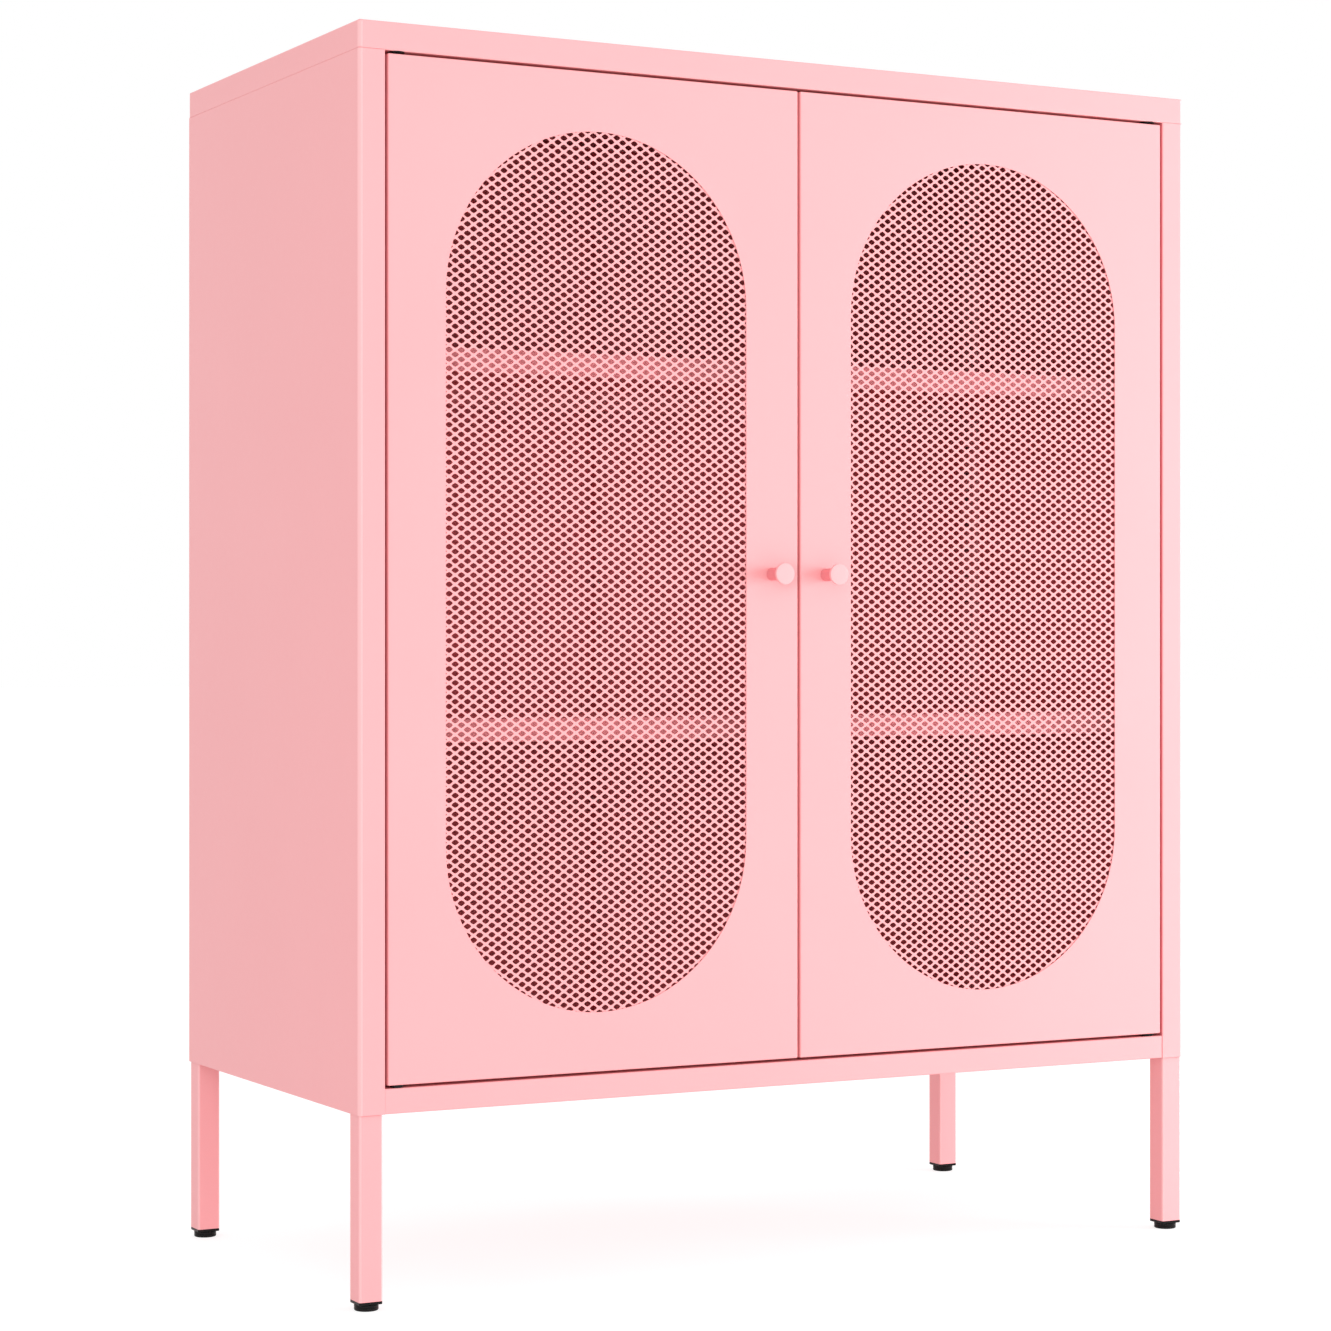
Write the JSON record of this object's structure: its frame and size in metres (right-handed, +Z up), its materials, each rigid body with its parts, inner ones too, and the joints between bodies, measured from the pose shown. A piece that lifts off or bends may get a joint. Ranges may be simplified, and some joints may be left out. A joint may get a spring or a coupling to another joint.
{
  "type": "locker cabinet",
  "caption": "Freestanding sheet-steel storage cabinet on square legs, with hinged doors that have tall round-ended perforated windows, and lift-off shelves inside.",
  "frame": {"origin": "on the floor, under the middle of the bounding box, which includes the door knobs", "axes": "+Z up, -Y out of the doors, +X to the right of someone facing the doors"},
  "size_m": [0.8, 0.4124, 1.0155],
  "materials": {
    "powder_coat": "satin pink powder coat",
    "black_plastic": "moulded, slightly glossy",
    "zinc_steel": "bright zinc plate",
    "black_steel": "black-oxide steel",
    "magnet": "ferrite"
  },
  "bodies": {
    "cabinet": {"top_panel": "powder_coat", "bottom_panel": "powder_coat", "side_panel_left": "powder_coat", "side_panel_right": "powder_coat", "back_panel_left": "powder_coat", "back_panel_right": "powder_coat", "leg_front_left": "powder_coat", "leg_front_right": "powder_coat", "leg_rear_left": "powder_coat", "leg_rear_right": "powder_coat", "end_plug_front_left": "black_plastic", "end_plug_front_right": "black_plastic", "end_plug_rear_left": "black_plastic", "end_plug_rear_right": "black_plastic", "leg_bolts": "zinc_steel", "leg_nuts": "zinc_steel", "panel_screws": "zinc_steel", "panel_nuts": "zinc_steel", "back_screws": "zinc_steel", "seam_screws": "zinc_steel", "lower_pivot_left": "black_steel", "lower_pivot_right": "black_steel", "upper_bush_left": "black_plastic", "upper_bush_right": "black_plastic", "catch_left": "black_plastic", "catch_right": "black_plastic", "catch_magnets": "magnet", "catch_screws": "zinc_steel", "shelf_clips_lower": "zinc_steel", "shelf_clips_upper": "zinc_steel"},
    "left_door": {"door_left": "powder_coat", "mesh_left": "powder_coat", "knob_left": "powder_coat", "knob_screw_left": "zinc_steel", "lower_bush_left": "black_plastic", "strike_plate_left": "zinc_steel", "bolt_bracket_left": "zinc_steel", "bolt_spring_left": "zinc_steel"},
    "left_hinge_bolt": {"hinge_bolt_left": "black_steel"},
    "right_door": {"door_right": "powder_coat", "mesh_right": "powder_coat", "knob_right": "powder_coat", "knob_screw_right": "zinc_steel", "lower_bush_right": "black_plastic", "strike_plate_right": "zinc_steel", "bolt_bracket_right": "zinc_steel", "bolt_spring_right": "zinc_steel"},
    "right_hinge_bolt": {"hinge_bolt_right": "black_steel"},
    "lower_shelf": {"shelf_lower": "powder_coat"},
    "upper_shelf": {"shelf_upper": "powder_coat"},
    "front_left_pad": {"foot_pad_front_left": "black_plastic"},
    "front_left_stud": {"foot_stud_front_left": "zinc_steel"},
    "front_right_pad": {"foot_pad_front_right": "black_plastic"},
    "front_right_stud": {"foot_stud_front_right": "zinc_steel"},
    "rear_left_pad": {"foot_pad_rear_left": "black_plastic"},
    "rear_left_stud": {"foot_stud_rear_left": "zinc_steel"},
    "rear_right_pad": {"foot_pad_rear_right": "black_plastic"},
    "rear_right_stud": {"foot_stud_rear_right": "zinc_steel"}
  },
  "joints": [
    {"name": "left_door_swing", "type": "hinge", "parent": "cabinet", "child": "left_door", "pos_m": [-0.3652, -0.17675, 0.5838], "axis": [0, 0, 1], "range_deg": [-110, 0]},
    {"name": "left_hinge_bolt_draw", "type": "slide", "parent": "left_door", "child": "left_hinge_bolt", "axis": [0, 0, -1], "range_m": [0, 0.008], "stiffness_N_per_m": 400, "springref_m": -0.01, "deforming": ["bolt_spring_left"]},
    {"name": "right_door_swing", "type": "hinge", "parent": "cabinet", "child": "right_door", "pos_m": [0.3652, -0.17675, 0.5838], "axis": [0, 0, 1], "range_deg": [0, 110]},
    {"name": "right_hinge_bolt_draw", "type": "slide", "parent": "right_door", "child": "right_hinge_bolt", "axis": [0, 0, -1], "range_m": [0, 0.008], "stiffness_N_per_m": 400, "springref_m": -0.01, "deforming": ["bolt_spring_right"]},
    {"name": "lower_shelf_lift", "type": "slide", "parent": "cabinet", "child": "lower_shelf", "axis": [0, 0, 1], "range_m": [0, 0.03]},
    {"name": "upper_shelf_lift", "type": "slide", "parent": "cabinet", "child": "upper_shelf", "axis": [0, 0, 1], "range_m": [0, 0.03]},
    {"name": "front_left_foot_travel", "type": "slide", "parent": "cabinet", "child": "front_left_pad", "axis": [0, 0, -1], "range_m": [0, 0.0101]},
    {"name": "front_left_stud_spin", "type": "hinge", "parent": "front_left_pad", "child": "front_left_stud", "pos_m": [-0.3889, -0.17215, 0.0025], "axis": [0, 0, -1], "range_deg": [0, 2880]},
    {"name": "front_right_foot_travel", "type": "slide", "parent": "cabinet", "child": "front_right_pad", "axis": [0, 0, -1], "range_m": [0, 0.0101]},
    {"name": "front_right_stud_spin", "type": "hinge", "parent": "front_right_pad", "child": "front_right_stud", "pos_m": [0.3889, -0.17215, 0.0025], "axis": [0, 0, -1], "range_deg": [0, 2880]},
    {"name": "rear_left_foot_travel", "type": "slide", "parent": "cabinet", "child": "rear_left_pad", "axis": [0, 0, -1], "range_m": [0, 0.0101]},
    {"name": "rear_left_stud_spin", "type": "hinge", "parent": "rear_left_pad", "child": "rear_left_stud", "pos_m": [-0.3889, 0.19465, 0.0025], "axis": [0, 0, -1], "range_deg": [0, 2880]},
    {"name": "rear_right_foot_travel", "type": "slide", "parent": "cabinet", "child": "rear_right_pad", "axis": [0, 0, -1], "range_m": [0, 0.0101]},
    {"name": "rear_right_stud_spin", "type": "hinge", "parent": "rear_right_pad", "child": "rear_right_stud", "pos_m": [0.3889, 0.19465, 0.0025], "axis": [0, 0, -1], "range_deg": [0, 2880]}
  ],
  "couplings": [
    {"joint": "front_left_foot_travel", "follows": "front_left_stud_spin", "m_per_rad": 0.00019894},
    {"joint": "front_right_foot_travel", "follows": "front_right_stud_spin", "m_per_rad": 0.00019894},
    {"joint": "rear_left_foot_travel", "follows": "rear_left_stud_spin", "m_per_rad": 0.00019894},
    {"joint": "rear_right_foot_travel", "follows": "rear_right_stud_spin", "m_per_rad": 0.00019894}
  ]
}
